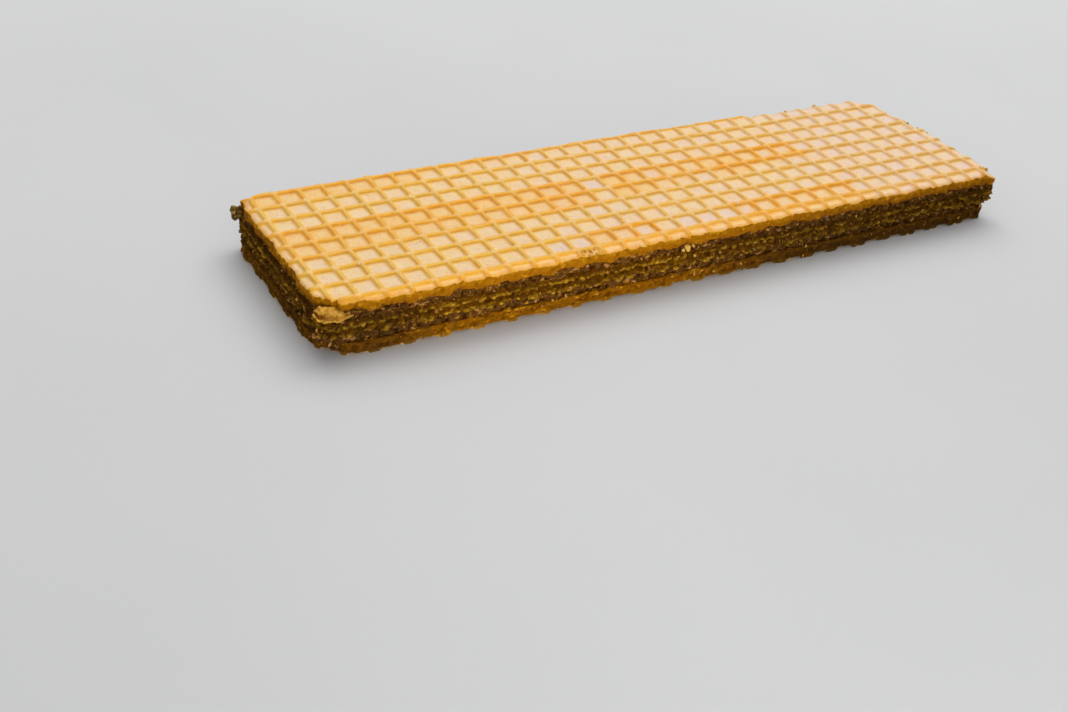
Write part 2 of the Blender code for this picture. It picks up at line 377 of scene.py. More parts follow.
def ragged_body(points, low, high, rings, push):
    """A closed body inside an outline, whose side is pushed out by push(x, y, z, share of the height).

    low and high give the height of the lower and upper rim at a place. Its flat ends are drawn in a little,
    so that they stay clear of the ragged side.
    """
    bm = bmesh.new()
    place = bm.verts.layers.int.new("place")
    hollow = bm.verts.layers.float.new("hollow")
    tint = bm.verts.layers.float.new("tint")
    made = bmesh.ops.create_circle(bm, cap_ends=True, segments=len(points), radius=1.0)
    ring = sorted(made["verts"], key=lambda v: math.atan2(v.co.y, v.co.x) % math.tau)
    for i, vert in enumerate(ring):
        vert[place] = i
    ways = outward_ways(points)

    def settle(verts, share):
        for vert in verts:
            x, y = points[vert[place]]
            way = ways[vert[place]]
            z = low(x, y) + (high(x, y) - low(x, y)) * share
            out, vert[tint] = push(x, y, z, share)
            # how deep this place of the side lies, for the painted shade in its hollows
            vert[hollow] = min(1.0, max(0.0, 0.5 - out / PORE_DEPTH))
            jitter = 0.04 * MM * grain((x, y, z), 0.31 * MM, 3.0) if 0 < share < 1 else 0.0
            vert.co = (x + way[0] * out, y + way[1] * out, z + jitter)

    def draw_in(verts, z):
        for vert in verts:
            x, y = points[vert[place]]
            vert.co = (x * (1.0 - DRAWN_IN / HALF_LENGTH), y * (1.0 - DRAWN_IN / HALF_WIDTH), z)

    draw_in(ring, low(0.0, 0.0))
    cap = bm.faces[:]
    for level in range(rings + 1):
        cap, verts = raise_cap(bm, cap, keep=level == 0)
        settle(verts, level / rings)
    cap, verts = raise_cap(bm, cap, keep=False)
    draw_in(verts, high(0.0, 0.0))
    face_outward(bm)
    return bm


def reeded_plate(lines, columns, rows, low, high):
    """A flat plate whose upper face has mesh lines at the ridges; a crossing is at 0, 0."""
    per_pitch = len(lines)
    bm = bmesh.new()
    bm.verts.layers.float.new("hollow")
    bm.verts.layers.float.new("tint")
    segments = (per_pitch * columns, per_pitch * rows)
    bmesh.ops.create_grid(bm, x_segments=segments[0], y_segments=segments[1], size=1.0)
    for vert in bm.verts:
        for axis, count in ((0, columns), (1, rows)):
            line = round((vert.co[axis] + 1.0) / 2 * per_pitch * count)
            cell, k = divmod(line, per_pitch)
            vert.co[axis] = (cell - count // 2 + lines[k]) * REED_PITCH
        vert.co.z = low
    under = bm.faces[:]
    _, verts = raise_cap(bm, under, keep=True)
    for vert in verts:
        vert.co.z = high
    bmesh.ops.dissolve_faces(bm, faces=under)
    face_outward(bm)
    return bm, verts


def in_scene(name, data):
    made = bpy.data.objects.new(name, data)
    bpy.context.scene.collection.objects.link(made)
    return made


def object_of(bm, name, materials):
    mesh = bpy.data.meshes.new(name)
    bm.to_mesh(mesh)
    bm.free()
    for material in materials:
        mesh.materials.append(material)
    return in_scene(name, mesh)


def put_attributes(piece, **values):
    """Stores values for every vertex, each worked out from its place."""
    data = piece.data
    for name, value_at in values.items():
        layer = data.attributes.get(name) or data.attributes.new(name, "FLOAT", "POINT")
        layer.data.foreach_set("value", [value_at(v.co) for v in data.vertices])


# ---- sides ----


def crumbly(x, y, z, seed, lumps, grains, pits):
    """How far a broken side stands out at a place, by its lumps, grains and pores, and the grain's tint."""
    at = (x, y, z)
    coarse, tint = granule(at, 0.52 * MM, seed)
    fine, fine_tint = granule(at, 0.28 * MM, seed + 5)
    out = lumps * grain(at, 1.1 * MM, seed + 8) + grains * (coarse + 0.7 * fine)
    out -= pits * smoothly(0.18, 0.50, grain(at, 0.58 * MM, seed + 11))
    return out, 0.45 * tint + 0.55 * fine_tint


def dimness(at):
    """How much painted shade darkens a side at a place: towards the right and at the left, mostly low down.
    """
    low = 1.0 - smoothly(1.4 * MM, 2.3 * MM, at.z)
    upper = smoothly(4.8 * MM, 7.4 * MM, at.z)
    right = smoothly(-10.0 * MM, 20.0 * MM, at.x)
    left = 1.0 - smoothly(-46.0 * MM, -36.0 * MM, at.x)
    return right * (0.44 - 0.42 * upper + 0.32 * low) + left * (0.38 - 0.35 * upper + 0.20 * low)


# The next four give how far a side stands out at a place and at a share of its height, and its tint.


def top_side(x, y, z, share):
    out, tint = crumbly(x, y, z, 1.0, 0.10 * MM, 0.17 * MM, 0.12 * MM)
    lip = falloff(math.hypot(x - HALF_LENGTH, y + HALF_WIDTH), LIP_REACH)
    # at the hanging lip the side stands out less, and its grains are made lighter: painted light on the lip
    return (out + 0.08 * MM * smoothly(0.55, 1.0, share)) * (1.0 - 0.6 * lip) - 0.06 * MM, tint + 0.4 * lip


def middle_side(x, y, z, share):
    filled = smoothly(0.1, 0.6, grain((x, y, 3), 1.9 * MM, 17.0))
    upper_skin = 1.0 - smoothly(0.0, 0.20, abs(share - 0.64 - 0.10 * grain((x, y, 3), 1.2 * MM, 23.0)))
    skins = (0.20 - 0.14 * filled) * MM * max(upper_skin, (1.0 - share) ** 4)
    out, tint = crumbly(x, y, z, 13.0, 0.14 * MM, 0.40 * MM, 0.34 * MM)
    return out + skins - 0.20 * MM, tint


def bottom_side(x, y, z, share):
    out, tint = crumbly(x, y, z, 27.0, 0.14 * MM, 0.18 * MM, 0.18 * MM)
    calm = 0.35 + 0.65 * smoothly(0.1 * MM, 0.8 * MM, z)
    skins = 0.14 * MM * abs(2 * share - 1) ** 1.5
    return out * calm + skins - 0.08 * MM, tint


def cream_side(seed):
    def push(x, y, z, share):
        out, tint = crumbly(x, y, z, seed, 0.20 * MM, 0.50 * MM, 0.28 * MM)
        return out + 0.12 * MM * (1 - (2 * share - 1) ** 2) - 0.06 * MM, tint

    return push


# Heights of the wavy boundaries between the layers. The broad ridges under each sheet press into the cream.
TOP_UNDER_CROSSING = (-0.05145, -0.0144)
MIDDLE_UNDER_CROSSING = (-0.0492, -0.0138)


def waver(x, y, height, wave, crossing, seed):
    """Height of a sheet's underside, which waves with its ridges."""
    at = (x, y, height)
    wander = 0.09 * MM * grain(at, 1.4 * MM, seed) + 0.10 * MM * grain(at, 0.5 * MM, seed)
    return height + wave * (0.45 - under_share(x, y, crossing)) + wander


def toothed(x, y, height, shift, layer):
    """Height of a sheet's upper face inside the bar, toothed by its ridges."""
    teeth = ridge_share(*upper_place(x + shift, y), UPPER_RIDGE)
    wander = 0.10 * MM * grain((x, y, layer), 1.6 * MM) + 0.10 * MM * grain((x, y, layer), 0.5 * MM)
    return height + 0.16 * MM * (teeth - 0.3) + wander


def top_sheet_low(x, y):
    return waver(x, y, CREAM_UPPER_TOP - 0.12 * MM, 0.26 * MM, TOP_UNDER_CROSSING, 2.0)


def middle_sheet_low(x, y):
    return waver(x, y, CREAM_LOWER_TOP, 0.40 * MM, MIDDLE_UNDER_CROSSING, 4.0)


def middle_sheet_high(x, y):
    return toothed(x, y, MIDDLE_SHEET_TOP, 1.2 * MM, 7)


def bottom_sheet_high(x, y):
    return toothed(x, y, BOTTOM_SHEET_TOP, 2.1 * MM, 8)


# ---- materials ----


class Finish:
    """A material being put together: its nodes, and short ways to add to them."""

    def __init__(self, name, roughness, shine):
        self.material = bpy.data.materials.new(name)
        self.material.use_nodes = True
        tree = self.material.node_tree
        self.nodes, self.links = tree.nodes, tree.links
        self.shader = self.nodes["Principled BSDF"]
        self.feed(self.shader, {"Roughness": roughness, "Specular IOR Level": shine})
        self.place = self.add("TexCoord", {}).outputs["Object"]

    def feed(self, node, inputs):
        """Puts numbers and colours in a node's inputs, or links outputs to them."""
        for name, value in inputs.items():
            if isinstance(value, bpy.types.NodeSocket):
                self.links.new(value, node.inputs[name])
            else:
                node.inputs[name].default_value = value

    def add(self, kind, inputs, **settings):
        """A new node with these inputs and settings."""
        node = self.nodes.new("ShaderNode" + kind)
        for name, value in settings.items():
            setattr(node, name, value)
        self.feed(node, inputs)
        return node

    def attribute(self, name):
        return self.add("Attribute", {}, attribute_name=name).outputs["Fac"]

    def height(self):
        """Height above the underside, in metres."""
        return self.add("SeparateXYZ", {0: self.place}).outputs["Z"]

    def spots(self, size, detail=2.0, rough=0.5, flat=1.0):
        """Noise from 0 to 1 with spots of about this size in metres, and this much lower than long."""
        lie = self.add("Mapping", {"Scale": (1.0, 1.0, flat), "Vector": self.place}).outputs["Vector"]
        inputs = {"Scale": 1.0 / size, "Detail": detail, "Roughness": rough, "Vector": lie}
        return self.add("TexNoise", inputs).outputs["Fac"]

    def span(self, value, low, high, to_low=0.0, to_high=1.0):
        """Maps low to high onto another range, and clamps."""
        inputs = {"Value": value, "From Min": low, "From Max": high, "To Min": to_low, "To Max": to_high}
        return self.add("MapRange", inputs).outputs["Result"]

    def sum(self, kind, first, second):
        return self.add("Math", {0: first, 1: second}, operation=kind).outputs[0]

    def mix(self, share, first, second):
        """Blends two colours, which are the node's inputs 6 and 7."""
        return self.add("Mix", {6: first, 7: second, "Factor": share}, data_type="RGBA").outputs[2]

    def ramp(self, value, stops):
        """A colour for each value, through stops of (place, colour)."""
        node = self.add("ValToRGB", {"Fac": value})
        elements = node.color_ramp.elements
        elements[0].position, elements[0].color = stops[0]
        elements[1].position, elements[1].color = stops[-1]
        for place, color in stops[1:-1]:
            elements.new(place).color = color
        return node.outputs["Color"]

    def bump(self, parts, strength, distance):
        """Fine relief from a sum of (height, weight)."""
        total = 0.0
        for value, weight in parts:
            total = self.sum("ADD", self.sum("MULTIPLY", value, weight), total)
        node = self.add("Bump", {"Strength": strength, "Distance": distance, "Height": total})
        self.feed(self.shader, {"Normal": node.outputs["Normal"]})

    def done(self, color):
        self.feed(self.shader, {"Base Color": color})
        return self.material


def srgb(red, green, blue):
    """A colour on the 0-255 scale, made linear."""
    shares = (red / 255, green / 255, blue / 255)
    return (*(c / 12.92 if c <= 0.04045 else ((c + 0.055) / 1.055) ** 2.4 for c in shares), 1.0)


FLOOR_COLOR = srgb(238, 210, 162)
FLOOR_WARM = srgb(236, 197, 132)
FLOOR_PINK = srgb(242, 205, 176)
WALL_COLOR = srgb(230, 179, 54)
CREST_COLOR = srgb(226, 180, 88)
# a painted highlight beside the foot of each ridge, where light bounces
FOOT_HIGHLIGHT = srgb(250, 204, 108)
RIM_GLOW_COLOR = srgb(220, 156, 32)
TOASTED_FLOOR = srgb(244, 188, 76)
TOASTED_RIDGE = srgb(234, 160, 0)
# pinkish white of the palest pits, of fine spots and of the painted sheen
PALE_COLOR = srgb(230, 203, 184)
SPECK_COLOR = srgb(180, 116, 44)
# near-black colour of the painted shade on the sides
PAINTED_SHADE_COLOR = srgb(36, 26, 12)
DRY = (0.85, 0.03)  # roughness and shine of broken wafer, cream and crumbs
# How light spreads inside a baked face.
LIGHT_INSIDE = {"Subsurface Weight": 0.7, "Subsurface Radius": (1.0, 0.6, 0.3), "Subsurface Scale": 0.8 * MM}


def wafer_face(name):
    """The baked face of a sheet: pale floors, golden ridges, toasted patches and fine specks, with a painted
    highlight at the ridges' feet, a painted sheen and a painted glow round its rim.
    """
    finish = Finish(name, roughness=0.52, shine=0.35)
    gold = finish.attribute("gold")
    cloudy = finish.span(finish.spots(2.6 * MM, 3.0, 0.6), 0.34, 0.70)
    floor = finish.mix(cloudy, FLOOR_COLOR, FLOOR_WARM)
    rosy = finish.span(finish.spots(0.62 * MM, 2.0, 0.6), 0.50, 0.66, 0.0, 0.7)
    floor = finish.mix(rosy, floor, FLOOR_PINK)
    # the palest pits, and the painted sheen towards the right end
    floor = finish.mix(finish.attribute("pale"), floor, PALE_COLOR)
    fine = finish.spots(0.26 * MM, 2.0, 0.6)
    floor = finish.mix(finish.span(fine, 0.28, 0.42, 0.5, 0.0), floor, PALE_COLOR)
    # up a ridge: the painted highlight at its foot, its golden wall, and its crest
    slope = ((0.05, FOOT_HIGHLIGHT), (0.30, WALL_COLOR), (0.80, WALL_COLOR), (0.97, CREST_COLOR))
    golden = finish.ramp(finish.attribute("ridge"), slope)
    # the ridges too take some of the pale colour and of the painted sheen
    golden = finish.mix(finish.sum("MULTIPLY", finish.attribute("pale"), 0.28), golden, PALE_COLOR)
    plain = finish.mix(gold, floor, golden)
    toasted = finish.mix(gold, TOASTED_FLOOR, TOASTED_RIDGE)
    mottle = finish.span(finish.spots(0.8 * MM, 3.0, 0.6), 0.40, 0.60, 0.65, 1.0)
    toast = finish.sum("MULTIPLY", finish.attribute("toast"), mottle)
    color = finish.mix(toast, plain, toasted)
    # painted golden glow round the rim of the upper face
    color = finish.mix(finish.sum("MULTIPLY", finish.attribute("wear"), 0.85), color, RIM_GLOW_COLOR)
    color = finish.mix(finish.span(fine, 0.58, 0.72, 0.0, 0.40), color, SPECK_COLOR)
    relief = ((finish.spots(0.30 * MM, 3.0, 0.65), 1.0), (finish.spots(0.9 * MM, 2.0), 0.8))
    finish.bump(relief, 0.5, 0.10 * MM)
    finish.feed(finish.shader, {"Roughness": finish.span(fine, 0.3, 0.7, 0.42, 0.62)} | LIGHT_INSIDE)
    return finish.done(color)


def grainy(finish, color, dark, light, strength):
    """Breaks a colour up into darker and lighter grains, with painted shade darkest in the deepest hollows.
    """
    tint = finish.attribute("tint")
    color = finish.mix(finish.span(tint, 0.30, 0.52, strength, 0.0), color, dark)
    color = finish.mix(finish.span(tint, 0.55, 0.75, 0.0, strength), color, light)
    fine = finish.spots(0.20 * MM, 2.0, 0.7, 2.2)
    color = finish.mix(finish.span(fine, 0.54, 0.68, 0.0, 0.6 * strength), color, dark)
    color = finish.mix(finish.span(fine, 0.32, 0.45, 0.6 * strength, 0.0), color, light)
    # painted shade in the hollows of a side, from how deep they lie
    hollow = finish.span(finish.attribute("hollow"), 0.35, 0.90, 0.0, 0.9)
    color = finish.mix(hollow, color, dark)
    # painted shade on the sides: darker towards the right and at the left end, mostly low down
    color = finish.mix(finish.attribute("dim"), color, PAINTED_SHADE_COLOR)
    finish.bump(((fine, 1.0), (finish.spots(0.45 * MM, 2.0), 1.0)), 0.8, 0.16 * MM)
    return color


def streaked(finish, color, other, amount):
    """Lets flat streaks of a neighbouring layer's colour into a colour."""
    streaks = finish.spots(0.45 * MM, 2.0, 0.6, 2.6)
    return finish.mix(finish.span(streaks, 0.50, 0.60, 0.0, amount), color, other)


def sheet_side(name, low, high, stops, dark, light, strength, stray, stray_amount):
    """The broken side of a sheet: colours at shares of its height, for its skins and its inside."""
    finish = Finish(name, *DRY)
    wander = finish.span(finish.spots(1.1 * MM, 2.0), 0.2, 0.8, -0.16 * MM, 0.16 * MM)
    level = finish.span(finish.sum("ADD", finish.height(), wander), low, high)
    color = streaked(finish, finish.ramp(level, stops), stray, stray_amount)
    return finish.done(grainy(finish, color, dark, light, strength))


def cream_finish(name, light, dark, deep, bright, stray):
    """Crumbly cocoa cream: grains of a lighter brown among dark hollows, which get painted shade, and bits of
    wafer in it.
    """
    finish = Finish(name, *DRY)
    lumps = finish.span(finish.spots(0.75 * MM, 3.0, 0.65), 0.35, 0.66)
    color = streaked(finish, finish.mix(lumps, light, dark), stray, 0.7)
    return finish.done(grainy(finish, color, deep, bright, 0.8))


def torn_finish(name, color, dark, light):
    """Torn wafer: one colour, broken up into grains."""
    finish = Finish(name, *DRY)
    return finish.done(grainy(finish, color, dark, light, 0.6))


def crumb_finish(name, first, second):
    finish = Finish(name, *DRY)
    color = finish.mix(finish.span(finish.spots(1.3 * MM, 1.0), 0.40, 0.60), first, second)
    grains = finish.spots(0.2 * MM, 2.0, 0.7)
    color = finish.mix(finish.span(grains, 0.5, 0.75, 0.0, 0.5), color, SPECK_COLOR)
    finish.bump(((grains, 1.0),), 0.4, 0.05 * MM)
    return finish.done(color)


# ---- pieces ----


def lip_share(at):
    """How far a place belongs to the upper sheet's near right corner, from 0 to 1."""
    return smoothly(LIP_START, HALF_LENGTH, at.x) * falloff(max(0.0, at.y + HALF_WIDTH), LIP_REACH)


def hang_lip(piece):
    """Lets the near right corner hang down: the upper sheet's and, less, that of the cream under it."""
    for vertex in piece.data.vertices:
        under = smoothly(MIDDLE_SHEET_TOP, CREAM_UPPER_TOP, vertex.co.z)
        top = smoothly(CREAM_UPPER_TOP, TOP_SHEET_FLOOR, vertex.co.z)
        drop = LIP_DROP[0] * under + (LIP_DROP[1] - LIP_DROP[0]) * top
        vertex.co.z -= lip_share(vertex.co) * drop


def pitches_over(length):
    """An even number of the grid's pitches, with some to spare at both ends of a length."""
    return math.ceil(length / REED_PITCH / 2) * 2 + 2


def carved_sheet(name, bm, body, face, side):
    """A sheet with a modelled face, cut to a ragged body, which gives it its side."""
    for polygon in bm.faces:
        polygon.smooth = True
    for polygon in body.faces:
        polygon.material_index = 1
    piece = object_of(bm, name, [face, side])
    cutter = object_of(body, name + "_outline", [face, side])
    trim = piece.modifiers.new("outline", "BOOLEAN")
    trim.operation = "INTERSECT"
    trim.solver = "MANIFOLD"
    trim.object = cutter
    graph = bpy.context.evaluated_depsgraph_get()
    mesh = bpy.data.meshes.new_from_object(piece.evaluated_get(graph))
    piece.modifiers.clear()
    piece.data = mesh
    bpy.data.objects.remove(cutter)
    return piece


def top_sheet(face, side):
    columns, rows = pitches_over(LENGTH), pitches_over(WIDTH)
    bm, upper = reeded_plate(FINE_LINES, columns, rows, CREAM_UPPER_TOP - 1.5 * MM, TOP_SHEET_FLOOR)
    place = Matrix.Translation((*UPPER_CROSSING, 0)) @ Matrix.Rotation(UPPER_TURN, 4, "Z")
    bmesh.ops.transform(bm, matrix=place, verts=bm.verts)
    inside = depth_inside(TOP_OUTLINE)
    for vert in upper:
        vert.co.z = upper_height(vert.co.x, vert.co.y, inside(vert.co.x, vert.co.y))[0]
    rings = round((TOP_SHEET_FLOOR + 0.5 * MM - CREAM_UPPER_TOP) / RING_STEP) + 2
    body = ragged_body(TOP_OUTLINE, top_sheet_low, lambda x, y: TOP_SHEET_FLOOR + OVERCUT, rings, top_side)
    piece = carved_sheet("wafer_top_sheet", bm, body, face, side)
    hang_lip(piece)
    put_attributes(
        piece,
        ridge=lambda co: upper_height(co.x, co.y, 1.0)[1],
        gold=lambda co: goldenness(co.x, co.y),
        # painted golden glow round the rim
        wear=lambda co: rim_wear(co.x, co.y, inside(co.x, co.y)),
        toast=lambda co: toasting(co.x, co.y),
        # palest pits and painted sheen
        pale=lambda co: paleness_and_sheen(co.x, co.y),
        # painted shade on the upper sheet's side, left off at the hanging lip
        dim=lambda co: dimness(co) * (1.0 - lip_share(co)),
    )
    return piece


def bottom_sheet(face, side):
    cells = pitches_over((LENGTH + WIDTH) / math.sqrt(2))
    bm, upper = reeded_plate(BROAD_LINES, cells, cells, -(BOTTOM_SHEET_TOP + 1.0 * MM), 0.0)
    turn = Matrix.Rotation(LOWER_TURN, 4, "Z") @ Matrix.Rotation(math.pi, 4, "X")
    bmesh.ops.transform(bm, matrix=turn, verts=bm.verts)
    for vert in upper:
        x, y, _ = vert.co
        uneven = 1.0 + 0.05 * grain((x, y, 1), 2.2 * MM)
        floor = 0.025 * MM * grain((x, y, 9), 1.3 * MM)
        vert.co.z = max(0.0, LOWER_RIDGE[0] * (1.0 - under_share(x, y) * uneven) + floor)
    rings = round((BOTTOM_SHEET_TOP + UNDERCUT) / RING_STEP)
    body = ragged_body(BOTTOM_OUTLINE, lambda x, y: -UNDERCUT, bottom_sheet_high, rings, bottom_side)
    piece = carved_sheet("wafer_bottom_sheet", bm, body, face, side)
    put_attributes(
        piece,
        ridge=lambda co: under_share(co.x, co.y),
        gold=lambda co: under_share(co.x, co.y),
        toast=lambda co: 0.15 + 0.2 * grain(co, 4 * MM),
        pale=lambda co: 0.0,
        wear=lambda co: 0.0,
        # painted shade on the bottom sheet's side
        dim=dimness,
    )
    return piece


def middle_sheet(side):
    rings = round((MIDDLE_SHEET_TOP - CREAM_LOWER_TOP) / RING_STEP)
    bm = ragged_body(MIDDLE_OUTLINE, middle_sheet_low, middle_sheet_high, rings, middle_side)
    piece = object_of(bm, "wafer_middle_sheet", [side])
    # painted shade on the middle sheet's side
    put_attributes(piece, dim=dimness)
    return piece


def cream_layer(name, points, seed, low, high, material):
    """A layer of cream inside an outline, between the heights of two sheets and a little into both."""
    rings = round((CREAM_UPPER_TOP - MIDDLE_SHEET_TOP + 2 * OVERLAP) / RING_STEP)
    under, over = (lambda x, y: low(x, y) - OVERLAP), (lambda x, y: high(x, y) + OVERLAP)
    piece = object_of(ragged_body(points, under, over, rings, cream_side(seed)), name, [material])
    hang_lip(piece)
    # painted shade on the cream's side
    put_attributes(piece, dim=dimness)
    return piece


def ragged_crumb(bm, centre, size, draw, fineness=2):
    """One crumb: a lumpy, angular ball."""
    stretch = Matrix.Diagonal((draw.uniform(0.7, 1.4), draw.uniform(0.5, 1.0), draw.uniform(0.4, 0.85), 1.0))
    turn = Euler([draw.uniform(0, math.tau) for _ in range(3)]).to_matrix().to_4x4()
    place = Matrix.Translation(centre) @ turn @ stretch
    made = bmesh.ops.create_icosphere(bm, subdivisions=fineness, radius=size / 2, matrix=place)
    apart = Vector(((centre[0] * 7919 + centre[1] * 104729) % 97, 0, 0))  # each crumb has lumps of its own
    for vert in made["verts"]:
        away = vert.co - Vector(centre)
        here = vert.co / size + apart
        vert.co += away * (0.85 * noise.noise(here * 1.8) + 0.50 * noise.noise(here * 4.1))


# Crumbs that the photograph shows one by one: place and size, in millimetres.
NEAR_SIDE_CRUMBS = (
    (-26.3, -14.6, 2.6, 0.45), (-22.5, -14.6, 2.1, 0.40), (-20.6, -14.6, 2.4, 0.45), (-4.3, -14.6, 1.8, 0.40),
    (-3.9, -14.6, 4.7, 0.45), (-3.3, -14.6, 5.6, 0.50), (-2.6, -14.65, 5.9, 0.70), (-1.8, -14.65, 6.1, 0.60),
    (-1.1, -14.6, 4.4, 0.40), (-0.7, -14.6, 1.7, 0.50), (2.5, -14.6, 1.3, 0.55), (10.4, -14.6, 6.1, 0.40),
    (14.2, -14.6, 4.6, 0.40), (18.0, -14.6, 2.1, 0.50), (15.5, -14.6, 0.5, 0.45), (17.9, -14.6, 0.6, 0.45),
    (26.1, -14.6, 5.3, 0.40), (51.0, -14.4, 2.4, 0.50),
)
NEAR_PIT_CRUMBS = (
    (-18.3, -13.6, 7.5, 0.60), (-17.6, -13.3, 7.5, 0.45), (-16.9, -13.5, 7.5, 0.75),
    (-16.2, -13.1, 7.5, 0.55), (-15.8, -13.8, 7.5, 0.50), (-16.5, -14.4, 7.4, 0.65),
    (-17.5, -14.3, 7.4, 0.50), (-15.2, -14.2, 7.4, 0.40),
)
FAR_AND_RIGHT_EDGE_CRUMBS = (
    (-28.7, 14.0, 7.3, 0.45), (-25.4, 14.0, 7.3, 0.40), (-11.5, 14.0, 7.3, 0.45), (12.0, 14.1, 7.3, 0.45),
    (34.8, 13.5, 7.3, 0.50), (40.5, 13.5, 7.3, 0.75), (50.6, 8.2, 7.2, 0.55), (51.5, 4.0, 7.2, 0.75),
    (51.9, 2.2, 7.2, 0.45), (52.2, 0.2, 7.2, 0.80), (52.4, -5.6, 7.2, 0.50), (52.5, -12.3, 7.1, 0.65),
)
LOW_CORNER_CRUMBS = (
    (-53.1, -11.9, 2.4, 0.95), (-52.8, -12.5, 2.5, 0.70), (-52.5, -13.0, 2.2, 0.60),
    (-52.0, -13.6, 2.1, 0.60), (-52.9, -11.2, 1.8, 0.55),
)
# Bits that lie on the ridges of the upper face: column, row and size in millimetres.
BITS_ON_TOP = (
    (4.63, 5.32, 0.55), (4.80, 5.24, 0.35), (18.2, 6.9, 0.65), (18.35, 7.05, 0.45), (9.3, 2.0, 0.35),
    (13.4, 6.1, 0.40), (22.2, 4.1, 0.35), (6.1, 3.2, 0.35), (27.1, 3.9, 0.35), (1.9, 6.1, 0.40),
    (25.1, 6.2, 0.35),
)
BIT_SUNK = 0.09 * MM  # how deep the bits sit in the crests
DARK_SPECKS_ON_TOP = ((3.2, 5.8, 0.22), (15.3, 3.65, 0.26), (11.7, 5.1, 0.20))


def on_top(column, row):
    """The place of a column and row of the upper face's ridges, on their crests."""
    a, b = (column - COLUMN_AT_CROSSING) * REED_PITCH, (ROW_AT_CROSSING - row) * REED_PITCH
    cos, sin = math.cos(UPPER_TURN), math.sin(UPPER_TURN)
    x, y = UPPER_CROSSING[0] + a * cos - b * sin, UPPER_CROSSING[1] + a * sin + b * cos
    return x, y, upper_height(x, y, 1.0)[0] - BIT_SUNK


def placed_crumbs(name, places, material, draw_seed):
    """Single crumbs at places of (x, y, z, size) in millimetres."""
    draw = random.Random(draw_seed)
    bm = bmesh.new()
    for x, y, z, size in places:
        ragged_crumb(bm, (x * MM, y * MM, z * MM), size * MM, draw)
    face_outward(bm)
    return object_of(bm, name, [material])


def bits_on_top(name, places, material, draw_seed):
    """Bits that lie on the upper face at places of (column, row, size)."""
    in_mm = [(*(value / MM for value in on_top(column, row)), size) for column, row, size in places]
    return placed_crumbs(name, in_mm, material, draw_seed)


# The flap that hangs from the upper sheet's near left corner, in millimetres: lines along it from its
# root inside the sheet over its ledge and its hollow to its thin outer rim.
FLAKE_LINES = (
    ((-52.8, -12.3, 6.7), (-52.5, -12.7, 6.75), (-52.0, -12.9, 6.7),
     (-51.4, -13.1, 6.6), (-50.6, -13.3, 6.4), (-49.6, -13.5, 6.2)),
    ((-53.9, -13.0, 6.7), (-53.6, -13.8, 6.8), (-52.8, -14.2, 6.7),
     (-51.9, -14.3, 6.5), (-51.0, -14.3, 6.25), (-49.7, -14.2, 6.1)),
    ((-53.8, -13.2, 6.5), (-53.5, -14.0, 6.4), (-52.8, -14.3, 6.2),
     (-52.0, -14.35, 6.05), (-51.2, -14.3, 5.95), (-49.8, -14.2, 5.95)),
    ((-53.95, -13.3, 6.45), (-53.7, -14.2, 6.2), (-53.0, -14.5, 6.0),
     (-52.1, -14.6, 5.85), (-51.2, -14.5, 5.8), (-49.7, -14.3, 5.9)),
    ((-54.05, -13.5, 6.55), (-53.9, -14.4, 6.35), (-53.2, -14.75, 6.05),
     (-52.2, -14.85, 5.9), (-51.1, -14.7, 5.85), (-49.6, -14.45, 6.0)),
)
FLAKE_HOLLOW = (0.1, 0.0, 1.0, 0.9, 0.0)  # how hollow it is on each line, which sets the painted shade in its hollow
FLAKE_THICKNESS = 0.00018


def between(points, share):
    """The place at a share of the way along a row of points."""
    at = min(share, 0.9999) * (len(points) - 1)
    first = int(at)
    return Vector(points[first]).lerp(Vector(points[first + 1]), at - first)


def torn_flake(material):
    """The flap of baked wafer, with a hollow between its ledge and its thin outer rim, darkened by painted
    shade.
    """
    bm = bmesh.new()
    bmesh.ops.create_grid(bm, x_segments=60, y_segments=34, size=1.0)
    places = kdtree.KDTree(len(bm.verts))
    hollows = []
    for vert in bm.verts:
        along, out = (vert.co.x + 1) / 2, (vert.co.y + 1) / 2
        at = between([between(line, along) for line in FLAKE_LINES], out) * MM
        rough, _ = granule(at, 0.30 * MM, 3.0)
        ragged = 0.22 * MM * grain(at, 0.45 * MM, 9.0) * smoothly(0.75, 1.0, out)
        lumpy = (0.18 * MM * rough + 0.14 * MM * grain(at, 0.6 * MM)) * (1.0 - smoothly(0.75, 0.95, along))
        vert.co = at + Vector((ragged, ragged, lumpy))
        places.insert(vert.co, len(hollows))
        # painted shade in the flap's hollow
        deep = between([(share, 0, 0) for share in FLAKE_HOLLOW], out).x * (1.0 - smoothly(0.35, 0.75, along))
        hollows.append(min(1.0, max(0.0, deep + 0.5 * grain(at, 0.5 * MM, 6.0))))
    places.balance()
    bmesh.ops.recalc_face_normals(bm, faces=bm.faces)
    bmesh.ops.solidify(bm, geom=bm.faces[:], thickness=FLAKE_THICKNESS)
    face_outward(bm)
    piece = object_of(bm, "torn_corner_flake", [material])
    put_attributes(
        piece,
        hollow=lambda co: hollows[places.find(co)[1]],
        tint=lambda co: 0.5 + 0.5 * grain(co, 0.45 * MM, 3.0),
    )
    return piece


# The knob at the far left corner: its middle and its half sizes, and the crumbs on it, in millimetres.
KNOB_PLACE = (-53.25, 13.85, 5.25)
KNOB_SIZE = (0.80, 0.80, 0.85)
KNOB_CRUMBS = ((-53.8, 13.35, 5.75, 0.34), (-53.75, 13.2, 5.25, 0.26))


